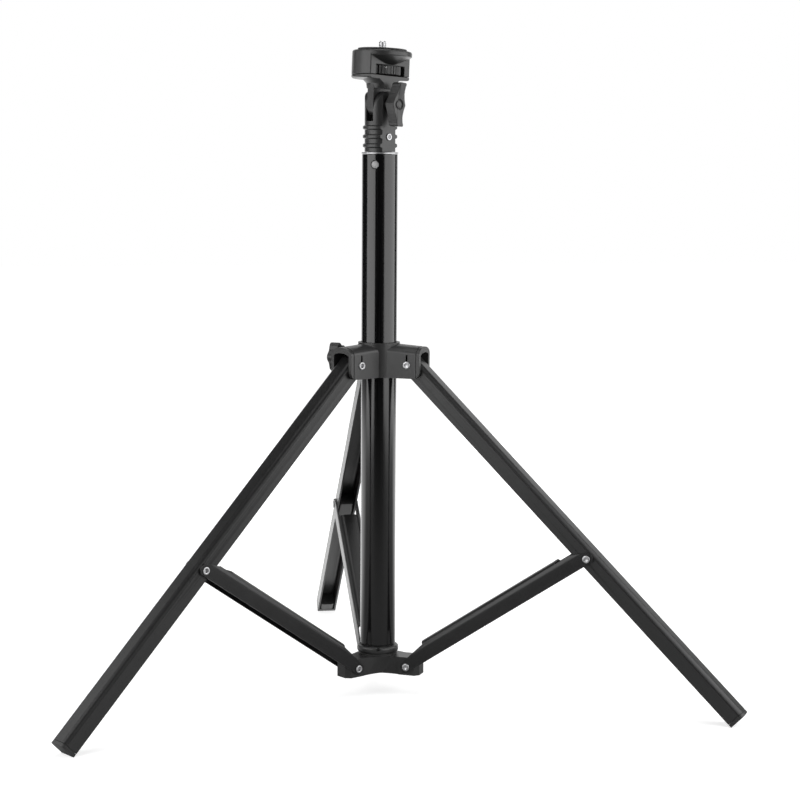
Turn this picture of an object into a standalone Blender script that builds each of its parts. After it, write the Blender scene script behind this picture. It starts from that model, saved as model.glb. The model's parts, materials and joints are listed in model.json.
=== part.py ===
"""Folding three-legged light stand with a tilting 1/4 inch screw head.

Units are metres, +Z is up and the feet stand on z = 0. The origin is the centre of the box that
the stand fills on the floor. The column stands behind that centre, because one leg points to +Y
and two point forward. Azimuths are counted from -Y towards +X.
"""
import math

import bmesh
import bpy
from mathutils import Matrix, Vector

MM = 0.001
GAP = 0.3 * MM
ROUND_STEPS = 48
HIDDEN_STEPS = 24
PIN_STEPS = 12
HOLE_STEPS = 16

# Driving dimensions of the open stand.
LEG_ANGLE = math.radians(45.5)
LEG_REACH = 400.0 * MM
BRACE_PIN_DISTANCE = 220.5 * MM
PIVOT_RADIUS = 29.7 * MM
HUB_PIVOT_HEIGHT = 25.2 * MM
LEG_AZIMUTHS = {"front_left": -60.0, "front_right": 60.0, "rear": 180.0}
HEAD_AZIMUTH = 35.0
HEAD_LEAN = math.radians(2.9)
RELEASE_AZIMUTH = -26.0
CLAMP_AZIMUTH = -120.0

# Leg channel, open towards the column.
LEG_HALF_WIDTH = 9.0 * MM
LEG_OUTER = 8.25 * MM
LEG_INNER = 6.75 * MM
LEG_WALL = 1.6 * MM
LEG_CORNER = 4.6 * MM
LEG_CREASE = 22.0
LEG_GROOVE = 0.35 * MM
LEG_GROOVE_WIDTH = 0.7 * MM
LEG_END_RADIUS = 8.0 * MM
FOOT_CAP = 3.0 * MM

# Strut channel, which straddles the leg and the hub's lug.
STRUT_HALF_WIDTH = 10.9 * MM
STRUT_WALL = 1.4 * MM
STRUT_WEB = 12.1 * MM
STRUT_LIP = 4.5 * MM
STRUT_CORNER = 6.0 * MM
STRUT_EAR = 5.6 * MM
STRUT_STEP = 2.6 * MM
WEB_START_HUB = 23.5 * MM
WEB_START_LEG = 11.0 * MM
WEB_FLAT_START_LEG = 26.5 * MM
PIN_RADIUS = 2.0 * MM
PIN_HOLE = 2.3 * MM
RIVET_HEAD = 3.2 * MM

# Column.
TUBE_RADIUS = 15.0 * MM
TUBE_BORE = 13.5 * MM
TUBE_BOTTOM = 41.8 * MM
TUBE_TOP = 460.9 * MM
RING_TOP = 462.5 * MM
RELEASE_HEIGHT = 452.3 * MM
RELEASE_RADIUS = 3.2 * MM

# Hub.
HUB_LOW = 17.7 * MM
HUB_HOLLOW = 1.4 * MM
HUB_TOP = 33.2 * MM
HUB_CORE = 16.6 * MM
LUG_TIP = 40.2 * MM
LUG_HALF_WIDTH = 9.1 * MM
HUB_RIM_RADIUS = 17.8 * MM
HUB_RIM_LOW = 34.8 * MM
HUB_RIM_TOP = 41.3 * MM
NOTCH_AZIMUTH = -8.0

# Collar, with heights counted from the leg pivots.
COLLAR_BORE = 15.5 * MM
COLLAR_LOW = -11.4 * MM
COLLAR_RING_RADIUS = 17.8 * MM
COLLAR_RING_TOP = 17.7 * MM
ARM_TIP = 41.0 * MM
ARM_HALF_WIDTH = 13.5 * MM
ARM_ROOT_TOP = 16.6 * MM
ARM_TIP_TOP = 15.0 * MM
ARM_ROOF = 6.4 * MM
ARM_GROOVE_START = 37.6 * MM
ARM_GROOVE_WIDTH = 0.8 * MM
ARM_GROOVE_DEPTH = 0.5 * MM
ARM_HEEL = 5.5 * MM
MOUTH_HALF_WIDTH = 9.8 * MM
MOUTH_TOP = 10.2 * MM
MOUTH_ROOF = 2.8 * MM
MOUTH_START = 18.6 * MM
CLAMP_HEIGHT = 3.7 * MM
CLAMP_KNOB_RADIUS = 12.5 * MM
CLAMP_LOBE_DEPTH = 2.8 * MM
CLAMP_KNOB_START = 34.5 * MM
CLAMP_KNOB_END = 43.0 * MM

# Telescoping tubes inside the column.
MID_RADIUS = 12.9 * MM
MID_BORE = 10.4 * MM
MID_BOTTOM = 66.5 * MM
MID_TOP = 460.0 * MM
MID_FLAT = 11.6 * MM
TOP_RADIUS = 10.0 * MM
TOP_BORE = 8.6 * MM
TOP_BOTTOM = 80.5 * MM
TOP_TOP = 483.0 * MM
GUIDE_HEIGHT = 8.0 * MM

# Neck, with heights counted from the tilt hinge.
HINGE_HEIGHT = 502.0 * MM
NECK_RADIUS = 12.9 * MM
RIB_RADIUS = 14.4 * MM
RIB_HEIGHT = 3.9 * MM
RIB_PITCH = 7.5 * MM
FIRST_RIB = 466.1 * MM
FLAT_OFFSET = 10.5 * MM
SLOT_HALF_WIDTH = 4.0 * MM
SLOT_FLOOR = -13.6 * MM
PRONG_RADIUS = 11.0 * MM
NECK_SCREW_HEIGHT = 475.3 * MM
BOLT_RADIUS = 2.9 * MM
NUT_RADIUS = 5.4 * MM
NUT_HEIGHT = 3.4 * MM
NUT_SEAT = -7.6 * MM
KNOB_INNER = 13.2 * MM
KNOB_OUTER = 22.9 * MM
KNOB_LENGTH = 36.4 * MM
KNOB_WIDTH = 15.0 * MM
KNOB_END_WIDTH = 8.0 * MM
KNOB_TILT = math.radians(10.0)

# Head, with heights counted from the tilt hinge.
TONGUE_HALF = 3.6 * MM
TONGUE_HALF_WIDTH = 11.8 * MM
TONGUE_TIP = -9.3 * MM
TONGUE_CORNER = 7.0 * MM
STEM_LOW = 13.3 * MM
STEM_RADIUS = 11.8 * MM
STEM_TOP_RADIUS = 15.6 * MM
HEAD_LOW = 21.1 * MM
HEAD_SPLIT = 24.0 * MM
HEAD_RADIUS = 25.0 * MM
WINDOW_HALF = 16.4 * MM
WINDOW_TOP = 32.2 * MM
CANOPY_LOW = 33.2 * MM
CANOPY_HIGH = 40.3 * MM
HEAD_TOP = 44.4 * MM
PAD_RADIUS = 20.5 * MM
PAD_TOP = 46.2 * MM
WHEEL_RADIUS = 16.0 * MM
WHEEL_LOW = 24.9 * MM
WHEEL_TOP = 31.7 * MM
SCREW_RADIUS = 3.175 * MM
SCREW_TOP = 52.7 * MM

# Worked out from the driving dimensions.
COLLAR_HEIGHT = LEG_REACH * math.cos(LEG_ANGLE) + LEG_INNER * math.sin(LEG_ANGLE)
BRACE_PIN_REACH = BRACE_PIN_DISTANCE * math.sin(LEG_ANGLE)
BRACE_PIN_RISE = COLLAR_HEIGHT - BRACE_PIN_DISTANCE * math.cos(LEG_ANGLE) - HUB_PIVOT_HEIGHT
STRUT_LENGTH = math.hypot(BRACE_PIN_REACH, BRACE_PIN_RISE)
STRUT_ANGLE = math.atan2(BRACE_PIN_REACH, BRACE_PIN_RISE)


def clear_scene():
    for item in list(bpy.data.objects):
        bpy.data.objects.remove(item, do_unlink=True)


def material(name, color, roughness, metallic):
    made = bpy.data.materials.new(name)
    made.use_nodes = True
    shader = made.node_tree.nodes["Principled BSDF"]
    shader.inputs["Base Color"].default_value = (*color, 1.0)
    shader.inputs["Roughness"].default_value = roughness
    shader.inputs["Metallic"].default_value = metallic
    made.diffuse_color = (*color, 1.0)
    return made


def make_materials():
    return {
        "anodised": material("anodised_black", (0.012, 0.012, 0.013), 0.22, 0.7),
        "paint": material("satin_black_paint", (0.014, 0.014, 0.015), 0.38, 0.0),
        "plastic": material("black_plastic", (0.035, 0.035, 0.037), 0.55, 0.0),
        "rubber": material("black_rubber", (0.02, 0.02, 0.02), 0.85, 0.0),
        "steel": material("bright_steel", (0.62, 0.62, 0.63), 0.25, 1.0),
        "aluminium": material("bare_aluminium", (0.7, 0.7, 0.71), 0.35, 1.0),
        "grey": material("grey_button", (0.36, 0.36, 0.37), 0.45, 0.0),
        "brass": material("brass", (0.6, 0.42, 0.16), 0.35, 1.0),
    }


# --- Shape helpers -----------------------------------------------------------------------------

def arc(center, radius, start, end, steps):
    """Points on an arc; angles in degrees, both ends included."""
    angles = [math.radians(start + (end - start) * i / steps) for i in range(steps + 1)]
    return [(center[0] + radius * math.cos(a), center[1] + radius * math.sin(a)) for a in angles]


def extruded(outline, low, high):
    """Solid between z = low and z = high with a counter-clockwise outline in XY."""
    return lofted([[(x, y, low) for x, y in outline], [(x, y, high) for x, y in outline]])


def lofted(sections):
    """Solid skinned over closed sections that have the same number of points."""
    shape = bmesh.new()
    rows = [[shape.verts.new(point) for point in section] for section in sections]
    count = len(rows[0])
    for lower, upper in zip(rows, rows[1:]):
        for i in range(count):
            j = (i + 1) % count
            shape.faces.new((lower[i], lower[j], upper[j], upper[i]))
    shape.faces.new(list(reversed(rows[0])))
    shape.faces.new(rows[-1])
    bmesh.ops.recalc_face_normals(shape, faces=shape.faces)
    return shape


def turned(profile, steps=ROUND_STEPS):
    """Solid of revolution about Z from a closed (radius, height) profile."""
    shape = bmesh.new()
    verts = [shape.verts.new((radius, 0.0, height)) for radius, height in profile]
    edges = [shape.edges.new((verts[i], verts[(i + 1) % len(verts)])) for i in range(len(verts))]
    bmesh.ops.spin(shape, geom=verts + edges, axis=(0, 0, 1), cent=(0, 0, 0),
                   angle=math.tau, steps=steps, use_merge=True, use_duplicate=False)
    bmesh.ops.remove_doubles(shape, verts=shape.verts, dist=1e-7)
    bmesh.ops.dissolve_degenerate(shape, edges=shape.edges, dist=1e-7)
    bmesh.ops.recalc_face_normals(shape, faces=shape.faces)
    return shape


def rod(radius, low, high, steps=24):
    return turned([(0, low), (radius, low), (radius, high), (0, high)], steps)


def box(low, high):
    (x0, y0, z0), (x1, y1, z1) = low, high
    return extruded([(x0, y0), (x1, y0), (x1, y1), (x0, y1)], z0, z1)


def moved(shape, *transforms):
    """The shape after the given matrices, applied in reading order."""
    for transform in transforms:
        bmesh.ops.transform(shape, matrix=transform, verts=shape.verts)
    return shape


def shift(x=0.0, y=0.0, z=0.0):
    return Matrix.Translation((x, y, z))


def turn(degrees, axis):
    return Matrix.Rotation(math.radians(degrees), 4, axis)


# Turns a shape that was drawn along Z so that it lies along X.
ALONG_X = Matrix(((0, 0, 1, 0), (1, 0, 0, 0), (0, 1, 0, 0), (0, 0, 0, 1)))


def toward(azimuth):
    """Turns +Y to the given azimuth, with +X along the hinge axis of a leg there."""
    return turn(azimuth + 180.0, "Z")


def radial(shape, azimuth, height=0.0):
    """A shape drawn along Z, laid along a radius of the column."""
    return moved(shape, turn(-90, "X"), toward(azimuth), shift(z=height))


def temporary(shape):
    mesh = bpy.data.meshes.new("tool")
    shape.to_mesh(mesh)
    shape.free()
    holder = bpy.data.objects.new("tool", mesh)
    bpy.context.scene.collection.objects.link(holder)
    return holder


def carved(base, fuse=(), cut=(), keep=()):
    """Mesh of base joined with fuse, limited to keep, then less cut."""
    host = temporary(base)
    tools = [host]
    for operation, shapes in (("UNION", fuse), ("INTERSECT", keep), ("DIFFERENCE", cut)):
        for shape in shapes:
            tool = temporary(shape)
            tools.append(tool)
            modifier = host.modifiers.new("step", "BOOLEAN")
            modifier.operation = operation
            modifier.solver = "EXACT"
            modifier.object = tool
    depsgraph = bpy.context.evaluated_depsgraph_get()
    mesh = bpy.data.meshes.new_from_object(host.evaluated_get(depsgraph))
    for tool in tools:
        bpy.data.objects.remove(tool, do_unlink=True)
    return mesh


def plain(shape):
    mesh = bpy.data.meshes.new("shape")
    shape.to_mesh(mesh)
    shape.free()
    return mesh


def finish_mesh(mesh, name, look):
    """Tidies the mesh, shades round faces smooth and gives it its material."""
    tidy = bmesh.new()
    tidy.from_mesh(mesh)
    bmesh.ops.remove_doubles(tidy, verts=tidy.verts, dist=2e-6)
    bmesh.ops.dissolve_degenerate(tidy, edges=tidy.edges, dist=2e-6)
    bmesh.ops.dissolve_limit(tidy, angle_limit=math.radians(0.2), verts=tidy.verts,
                             edges=tidy.edges)
    bmesh.ops.triangulate(tidy, faces=tidy.faces)
    tidy.to_mesh(mesh)
    tidy.free()
    mesh.name = name
    mesh.shade_smooth()
    mesh.set_sharp_from_angle(angle=math.radians(30))
    mesh.materials.clear()
    mesh.materials.append(look)
    return mesh


def place(name, mesh, parent=None):
    made = bpy.data.objects.new(name, mesh)
    bpy.context.scene.collection.objects.link(made)
    made.parent = parent
    return made


def empty(name, parent, location=(0, 0, 0), rotation=(0, 0, 0)):
    made = place(name, None, parent)
    made.location = location
    made.rotation_euler = rotation
    return made


# --- Rivets ------------------------------------------------------------------------------------

def rivet(half_width):
    """Semi-tubular rivet along X: a domed head at +X and a rolled hollow end at -X."""
    head = half_width + GAP
    shape = turned([
        (0, head + 1.0 * MM), (RIVET_HEAD * 0.6, head + 0.85 * MM), (RIVET_HEAD, head + 0.4 * MM),
        (RIVET_HEAD, head), (PIN_RADIUS, head), (PIN_RADIUS, -head), (RIVET_HEAD, -head),
        (RIVET_HEAD, -head - 0.5 * MM), (RIVET_HEAD * 0.75, -head - 0.8 * MM),
        (1.6 * MM, -head - 0.5 * MM), (1.6 * MM, -head + 2.0 * MM), (0, -head + 2.0 * MM)], PIN_STEPS)
    return moved(shape, ALONG_X)


def stud(side):
    """One end of the brace rivet, held in a strut's ear; side is +1 for the domed end."""
    inner = LEG_HALF_WIDTH + 0.35 * MM
    head = STRUT_HALF_WIDTH + GAP
    end = head + 0.5 * MM
    if side > 0:
        face = [(RIVET_HEAD, head + 0.35 * MM), (RIVET_HEAD * 0.6, end + 0.3 * MM), (0, end + 0.35 * MM)]
    else:
        face = [(RIVET_HEAD, head + 0.35 * MM), (RIVET_HEAD * 0.75, end), (1.6 * MM, end - 0.2 * MM),
                (1.6 * MM, inner + 0.6 * MM), (0, inner + 0.6 * MM)]
    profile = [(0, inner), (PIN_RADIUS, inner), (PIN_RADIUS, head), (RIVET_HEAD, head)] + face
    shape = moved(turned(profile, PIN_STEPS), ALONG_X)
    return shape if side > 0 else moved(shape, turn(180, "Z"))


# --- Column ------------------------------------------------------------------------------------

def outer_tube():
    edge = 1.3 * MM
    profile = [(TUBE_RADIUS, TUBE_BOTTOM + edge), (TUBE_RADIUS, TUBE_TOP), (TUBE_BORE, TUBE_TOP),
               (TUBE_BORE, TUBE_BOTTOM), (TUBE_RADIUS - edge, TUBE_BOTTOM),
               (TUBE_RADIUS - 0.3 * edge, TUBE_BOTTOM + 0.3 * edge)]
    hole = radial(rod(RELEASE_RADIUS + 0.5 * MM, 8.0 * MM, 20.0 * MM), RELEASE_AZIMUTH, RELEASE_HEIGHT)
    return carved(turned(profile), cut=[hole])


def tube_ring():
    low = TUBE_TOP + GAP
    return plain(turned([(MID_RADIUS + 0.4 * MM, low), (TUBE_RADIUS + 0.4 * MM, low),
                         (TUBE_RADIUS + 0.4 * MM, RING_TOP), (MID_RADIUS + 0.4 * MM, RING_TOP)]))


def release_button():
    shape = rod(RELEASE_RADIUS, 13.8 * MM, TUBE_RADIUS + 0.15 * MM, 20)
    return plain(radial(shape, RELEASE_AZIMUTH, RELEASE_HEIGHT))


def hub_outline():
    """Plan of the hub: three lugs with chamfered tips, joined by shallow hollow faces."""
    chamfer = 3.8 * MM
    root = 22.0 * MM
    lug = [(-LUG_HALF_WIDTH, root), (-LUG_HALF_WIDTH, LUG_TIP - chamfer),
           (-LUG_HALF_WIDTH + chamfer, LUG_TIP), (LUG_HALF_WIDTH - chamfer, LUG_TIP),
           (LUG_HALF_WIDTH, LUG_TIP - chamfer), (LUG_HALF_WIDTH, root)]
    outline = []
    for azimuth in sorted(LEG_AZIMUTHS.values(), reverse=True):
        spin = toward(azimuth)
        outline += [tuple((spin @ Vector((x, y, 0)))[:2]) for x, y in lug]
        middle = toward(azimuth - 60.0) @ Vector((0, HUB_CORE, 0))
        outline.append(tuple(middle[:2]))
    return outline


def hub():
    spigot = TUBE_BORE - GAP
    rim_round = 2.4 * MM
    rim = arc((HUB_RIM_RADIUS - rim_round, HUB_RIM_LOW + rim_round), rim_round, -60, 0, 3)
    rim += arc((HUB_RIM_RADIUS - rim_round, HUB_RIM_TOP - rim_round), rim_round, 0, 90, 4)
    waist = rim[0][0]
    boss = turned([(0, HUB_LOW + HUB_HOLLOW), (waist, HUB_LOW + HUB_HOLLOW)] + rim
                  + [(spigot, HUB_RIM_TOP), (spigot, TUBE_BOTTOM + 12 * MM), (0, TUBE_BOTTOM + 12 * MM)])
    hollow = turned([(0, HUB_LOW - 1 * MM), (25 * MM, HUB_LOW - 1 * MM), (25 * MM, HUB_LOW),
                     (17 * MM, HUB_LOW + HUB_HOLLOW), (0, HUB_LOW + HUB_HOLLOW)])
    screw_hole = turned([(0, HUB_LOW), (5.6 * MM, HUB_LOW), (5.6 * MM, 22.5 * MM),
                         (3.2 * MM, 22.5 * MM), (3.2 * MM, 60 * MM), (0, 60 * MM)], 24)
    notch = moved(box((-1.0 * MM, TUBE_RADIUS + 0.4 * MM, HUB_RIM_TOP - 3.0 * MM),
                      (1.0 * MM, HUB_RIM_RADIUS + 2 * MM, HUB_RIM_TOP + 1 * MM)),
                  toward(NOTCH_AZIMUTH))
    holes = [moved(rod(PIN_HOLE, -15 * MM, 15 * MM, PIN_STEPS), ALONG_X,
                   shift(y=PIVOT_RADIUS, z=HUB_PIVOT_HEIGHT), toward(azimuth))
             for azimuth in LEG_AZIMUTHS.values()]
    return carved(extruded(hub_outline(), HUB_LOW, HUB_TOP), fuse=[boss],
                  cut=[hollow, screw_hole, notch] + holes)


def hub_screw():
    head, top = 19.4 * MM, 22.2 * MM
    profile = [(0, head), (5.0 * MM, head), (5.2 * MM, head + 0.5 * MM), (5.2 * MM, top),
               (2.8 * MM, top), (2.8 * MM, 50 * MM), (0, 50 * MM)]
    socket = extruded(hexagon(2.4 * MM), head - 1 * MM, head + 1.6 * MM)
    return carved(turned(profile, 24), cut=[socket])


# --- Collar ------------------------------------------------------------------------------------

def arch(half_width, top, roof, low, steps=14):
    """Arch outline with upright sides and a low elliptic roof, counter-clockwise, as (x, z) points."""
    angles = [math.pi * i / steps for i in range(steps + 1)]
    crown = [(half_width * math.cos(a), top - roof + roof * math.sin(a)) for a in angles]
    return [(-half_width, low), (half_width, low)] + crown


def arch_section(outline, radius):
    return [(x, radius, z) for x, z in outline]


def collar_arm(azimuth):
    root = arch(ARM_HALF_WIDTH, ARM_ROOT_TOP, ARM_ROOF, COLLAR_LOW)
    tip = arch(ARM_HALF_WIDTH, ARM_TIP_TOP, ARM_ROOF, COLLAR_LOW)
    return moved(lofted([arch_section(root, 1 * MM), arch_section(root, 17 * MM),
                         arch_section(tip, ARM_TIP)]), toward(azimuth))


def collar_mouth(azimuth):
    outline = arch(MOUTH_HALF_WIDTH, MOUTH_TOP, MOUTH_ROOF, COLLAR_LOW - 5 * MM, 10)
    return moved(lofted([arch_section(outline, MOUTH_START), arch_section(outline, ARM_TIP + 5 * MM)]),
                 toward(azimuth))


def collar_groove(azimuth):
    """Shallow groove round an arm, behind the lip of its mouth."""
    share = (ARM_GROOVE_START - 17 * MM) / (ARM_TIP - 17 * MM)
    top = ARM_ROOT_TOP + (ARM_TIP_TOP - ARM_ROOT_TOP) * share - ARM_GROOVE_DEPTH
    floor = arch(ARM_HALF_WIDTH - ARM_GROOVE_DEPTH, top, ARM_ROOF, COLLAR_LOW - 3 * MM)
    around = [(20 * MM, COLLAR_LOW - 3 * MM), (20 * MM, 25 * MM), (-20 * MM, 25 * MM),
              (-20 * MM, COLLAR_LOW - 3 * MM)]
    outline = list(reversed(floor[2:])) + [floor[1]] + around + [floor[0]]
    return moved(lofted([arch_section(outline, ARM_GROOVE_START),
                         arch_section(outline, ARM_GROOVE_START + ARM_GROOVE_WIDTH)]), toward(azimuth))


def collar_slits(azimuth):
    """Narrow slit above each pivot hole, in both cheeks of an arm."""
    low, high = PIN_RADIUS, MOUTH_TOP - 1.6 * MM
    half = 0.7 * MM
    return moved(box((-ARM_HALF_WIDTH - 2 * MM, PIVOT_RADIUS - half, low),
                     (ARM_HALF_WIDTH + 2 * MM, PIVOT_RADIUS + half, high)), toward(azimuth))


def collar_heel(azimuth):
    """Rounds the lower corner of an arm's tip."""
    outline = [(ARM_TIP - ARM_HEEL, COLLAR_LOW - 2 * MM), (ARM_TIP + 3 * MM, COLLAR_LOW - 2 * MM),
               (ARM_TIP + 3 * MM, COLLAR_LOW + ARM_HEEL)]
    outline += arc((ARM_TIP - ARM_HEEL, COLLAR_LOW + ARM_HEEL), ARM_HEEL, 0, -90, 5)
    return moved(side_prism(outline, ARM_HALF_WIDTH + 2 * MM), toward(azimuth))


def collar():
    barrel = turned([(COLLAR_BORE - 2 * MM, COLLAR_LOW), (COLLAR_RING_RADIUS, COLLAR_LOW),
                     (COLLAR_RING_RADIUS, COLLAR_RING_TOP), (COLLAR_BORE - 2 * MM, COLLAR_RING_TOP)])
    boss = radial(rod(7.0 * MM, 12 * MM, 25 * MM), CLAMP_AZIMUTH, CLAMP_HEIGHT)
    bore = rod(COLLAR_BORE, COLLAR_LOW - 5 * MM, COLLAR_RING_TOP + 5 * MM, ROUND_STEPS)
    boss_hole = radial(rod(3.4 * MM, 10 * MM, 30 * MM), CLAMP_AZIMUTH, CLAMP_HEIGHT)
    cuts = [bore, boss_hole]
    for azimuth in LEG_AZIMUTHS.values():
        cuts.append(collar_mouth(azimuth))
        cuts.append(collar_slits(azimuth))
        cuts.append(collar_groove(azimuth))
        cuts.append(collar_heel(azimuth))
        cuts.append(moved(rod(PIN_HOLE, -20 * MM, 20 * MM, PIN_STEPS), ALONG_X, shift(y=PIVOT_RADIUS),
                          toward(azimuth)))
    arms = [collar_arm(azimuth) for azimuth in LEG_AZIMUTHS.values()]
    return carved(barrel, fuse=arms + [boss], cut=cuts)


def clamp_knob():
    """Five-lobed hand knob, drawn along Z from its inner face, with one lobe towards -X."""
    lobes, points = 5, 60
    outline = []
    for i in range(points):
        angle = math.tau * i / points
        radius = CLAMP_KNOB_RADIUS - CLAMP_LOBE_DEPTH * (1 + math.cos(lobes * angle)) / 2
        outline.append((radius * math.cos(angle), radius * math.sin(angle)))
    hub_boss = rod(6.5 * MM, 25.4 * MM, CLAMP_KNOB_START + 1 * MM)
    hole = rod(3.2 * MM, 20 * MM, CLAMP_KNOB_END - 2.5 * MM, 24)
    return carved(extruded(outline, CLAMP_KNOB_START, CLAMP_KNOB_END), fuse=[hub_boss], cut=[hole])


def clamp_screw():
    return plain(rod(2.9 * MM, 17.0 * MM, CLAMP_KNOB_END - 3 * MM, 20))


def clamp_pad():
    return plain(rod(3.0 * MM, TUBE_RADIUS + 0.35 * MM, 16.7 * MM, 20))


# --- Legs --------------------------------------------------------------------------------------

def channel_outside(half_width, web, lip, corner, crease=0.0, groove=0.0, steps=5):
    """Outer line of a channel section, from its right lip over the web at +Y to its left lip.

    With a crease the corner's arc meets the cheek at that many degrees, above a thin groove.
    """
    middle = half_width - corner * math.cos(math.radians(crease))
    curve = arc((middle, web - corner), corner, crease, 90, steps)
    if groove:
        low = curve[0][1] - LEG_GROOVE_WIDTH
        curve = [(half_width, low), (half_width - groove, low + groove / 2),
                 (half_width - groove, curve[0][1] - groove / 2)] + curve
    return [(half_width, -lip)] + curve + [(-x, y) for x, y in reversed(curve)] + [(-half_width, -lip)]


def channel_outline(half_width, web, lip, wall, corner, crease=0.0, groove=0.0, steps=5):
    """Channel section with its web at +Y and its open side at -Y, counter-clockwise."""
    inner = max(corner - wall, 0.4 * MM)
    outside = channel_outside(half_width, web, lip, corner, crease, groove, steps)
    outside.append((-half_width + wall, -lip))
    x, y = half_width - wall - inner, web - wall - inner
    inside = arc((-x, y), inner, 180, 90, steps) + arc((x, y), inner, 90, 0, steps)
    return outside + inside + [(half_width - wall, -lip)]


def side_prism(outline, half_width):
    """Prism across X from an outline of (y, z) points, counter-clockwise."""
    return moved(extruded(outline, -half_width, half_width), ALONG_X)


def leg():
    """Leg hanging down from its pivot, with its open side towards the column."""
    low = -LEG_REACH + FOOT_CAP + GAP
    section = channel_outline(LEG_HALF_WIDTH, LEG_OUTER, LEG_INNER, LEG_WALL, LEG_CORNER,
                              LEG_CREASE, LEG_GROOVE)
    top = LEG_END_RADIUS
    side = [(-20 * MM, low - 5 * MM), (20 * MM, low - 5 * MM), (20 * MM, 0)]
    side += arc((0, 0), top, 0, 180, 16) + [(-20 * MM, 0)]
    holes = [moved(rod(PIN_HOLE, -20 * MM, 20 * MM, PIN_STEPS), ALONG_X, shift(z=height))
             for height in (0, -BRACE_PIN_DISTANCE)]
    return carved(extruded(section, low, 15 * MM), keep=[side_prism(side, 20 * MM)], cut=holes)


def rounded_rectangle(half_width, low, high, corner, steps=4):
    return (arc((half_width - corner, low + corner), corner, -90, 0, steps)
            + arc((half_width - corner, high - corner), corner, 0, 90, steps)
            + arc((-half_width + corner, high - corner), corner, 90, 180, steps)
            + arc((-half_width + corner, low + corner), corner, 180, 270, steps))


def foot_cap():
    """End cap, flush with the leg, with a plug inside the channel."""
    clearance = LEG_WALL + GAP
    plate = extruded(channel_outside(LEG_HALF_WIDTH, LEG_OUTER, LEG_INNER, LEG_CORNER,
                                     LEG_CREASE, LEG_GROOVE),
                     -LEG_REACH, -LEG_REACH + FOOT_CAP)
    plug = extruded(rounded_rectangle(LEG_HALF_WIDTH - clearance, -LEG_INNER + 0.2 * MM,
                                      LEG_OUTER - clearance, LEG_CORNER - LEG_WALL),
                    -LEG_REACH + FOOT_CAP - 1 * MM, -LEG_REACH + FOOT_CAP + 9 * MM)
    return carved(plate, fuse=[plug])


def leg_spacer():
    """Plastic block that keeps the channel open around the brace pin."""
    clearance = LEG_WALL + GAP
    block = extruded(rounded_rectangle(LEG_HALF_WIDTH - clearance, -LEG_INNER + 0.6 * MM,
                                       LEG_OUTER - clearance, LEG_CORNER - LEG_WALL),
                     -BRACE_PIN_DISTANCE - 9 * MM, -BRACE_PIN_DISTANCE + 9 * MM)
    hole = moved(rod(PIN_HOLE, -20 * MM, 20 * MM, PIN_STEPS), ALONG_X, shift(z=-BRACE_PIN_DISTANCE))
    return carved(block, cut=[hole])


def brace_pin():
    half = LEG_HALF_WIDTH - 0.1 * MM
    return plain(moved(rod(PIN_RADIUS, -half, half, PIN_STEPS), ALONG_X, shift(z=-BRACE_PIN_DISTANCE)))


# --- Struts ------------------------------------------------------------------------------------

def strut_side():
    """Side view of a strut as (y, z) points: the web is at -Y and both ends are round ears."""
    length = STRUT_LENGTH
    step = -STRUT_WEB + STRUT_STEP
    hub_ear = arc((0, 0), STRUT_EAR, 215, 340, 8)
    leg_ear = arc((0, length), STRUT_EAR, 20, 145, 8)
    right = [(STRUT_LIP, 6 * MM), (STRUT_LIP, length - 6 * MM)]
    left = [(step, length - WEB_START_LEG), (-STRUT_WEB - 1 * MM, length - WEB_START_LEG),
            (-STRUT_WEB - 1 * MM, WEB_START_HUB), (step, WEB_START_HUB)]
    return hub_ear + right + leg_ear + left


def strut():
    """Strut standing up from its hub pivot, with its open side away from the column."""
    section = channel_outline(STRUT_HALF_WIDTH, STRUT_WEB, STRUT_LIP, STRUT_WALL, STRUT_CORNER)
    body = moved(extruded(section, -10 * MM, STRUT_LENGTH + 10 * MM), turn(180, "Z"))
    inner = STRUT_HALF_WIDTH - STRUT_WALL
    relief = [box((-inner, -STRUT_WEB - 2 * MM, STRUT_LENGTH - WEB_FLAT_START_LEG),
                  (inner, 10 * MM, STRUT_LENGTH + 10 * MM)),
              box((-inner, -STRUT_WEB - 2 * MM, -10 * MM), (inner, 10 * MM, WEB_START_HUB))]
    holes = [moved(rod(PIN_HOLE, -20 * MM, 20 * MM, PIN_STEPS), ALONG_X, shift(z=height))
             for height in (0, STRUT_LENGTH)]
    return carved(body, keep=[side_prism(strut_side(), 20 * MM)], cut=relief + holes)


# --- Telescoping tubes -------------------------------------------------------------------------

def tube_mesh(radius, bore, low, high):
    return turned([(radius, low), (radius, high), (bore, high), (bore, low)], HIDDEN_STEPS)


def mid_tube():
    """Middle tube, with a flat on the button's side that keeps it from turning."""
    flat = moved(box((-20 * MM, MID_FLAT, MID_BOTTOM - 5 * MM), (20 * MM, 20 * MM, MID_TOP + 5 * MM)),
                 toward(RELEASE_AZIMUTH))
    return carved(tube_mesh(MID_RADIUS, MID_BORE, MID_BOTTOM, MID_TOP), cut=[flat])


def mid_guide():
    high = MID_BOTTOM - GAP
    return plain(tube_mesh(TUBE_BORE - GAP, MID_BORE, high - GUIDE_HEIGHT, high))


def top_guide():
    high = TOP_BOTTOM - GAP
    return plain(tube_mesh(MID_BORE - GAP, TOP_BORE, high - GUIDE_HEIGHT, high))


# --- Neck --------------------------------------------------------------------------------------
# The neck and the head are drawn with the tilt axis along X and z = 0 at the hinge.

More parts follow.
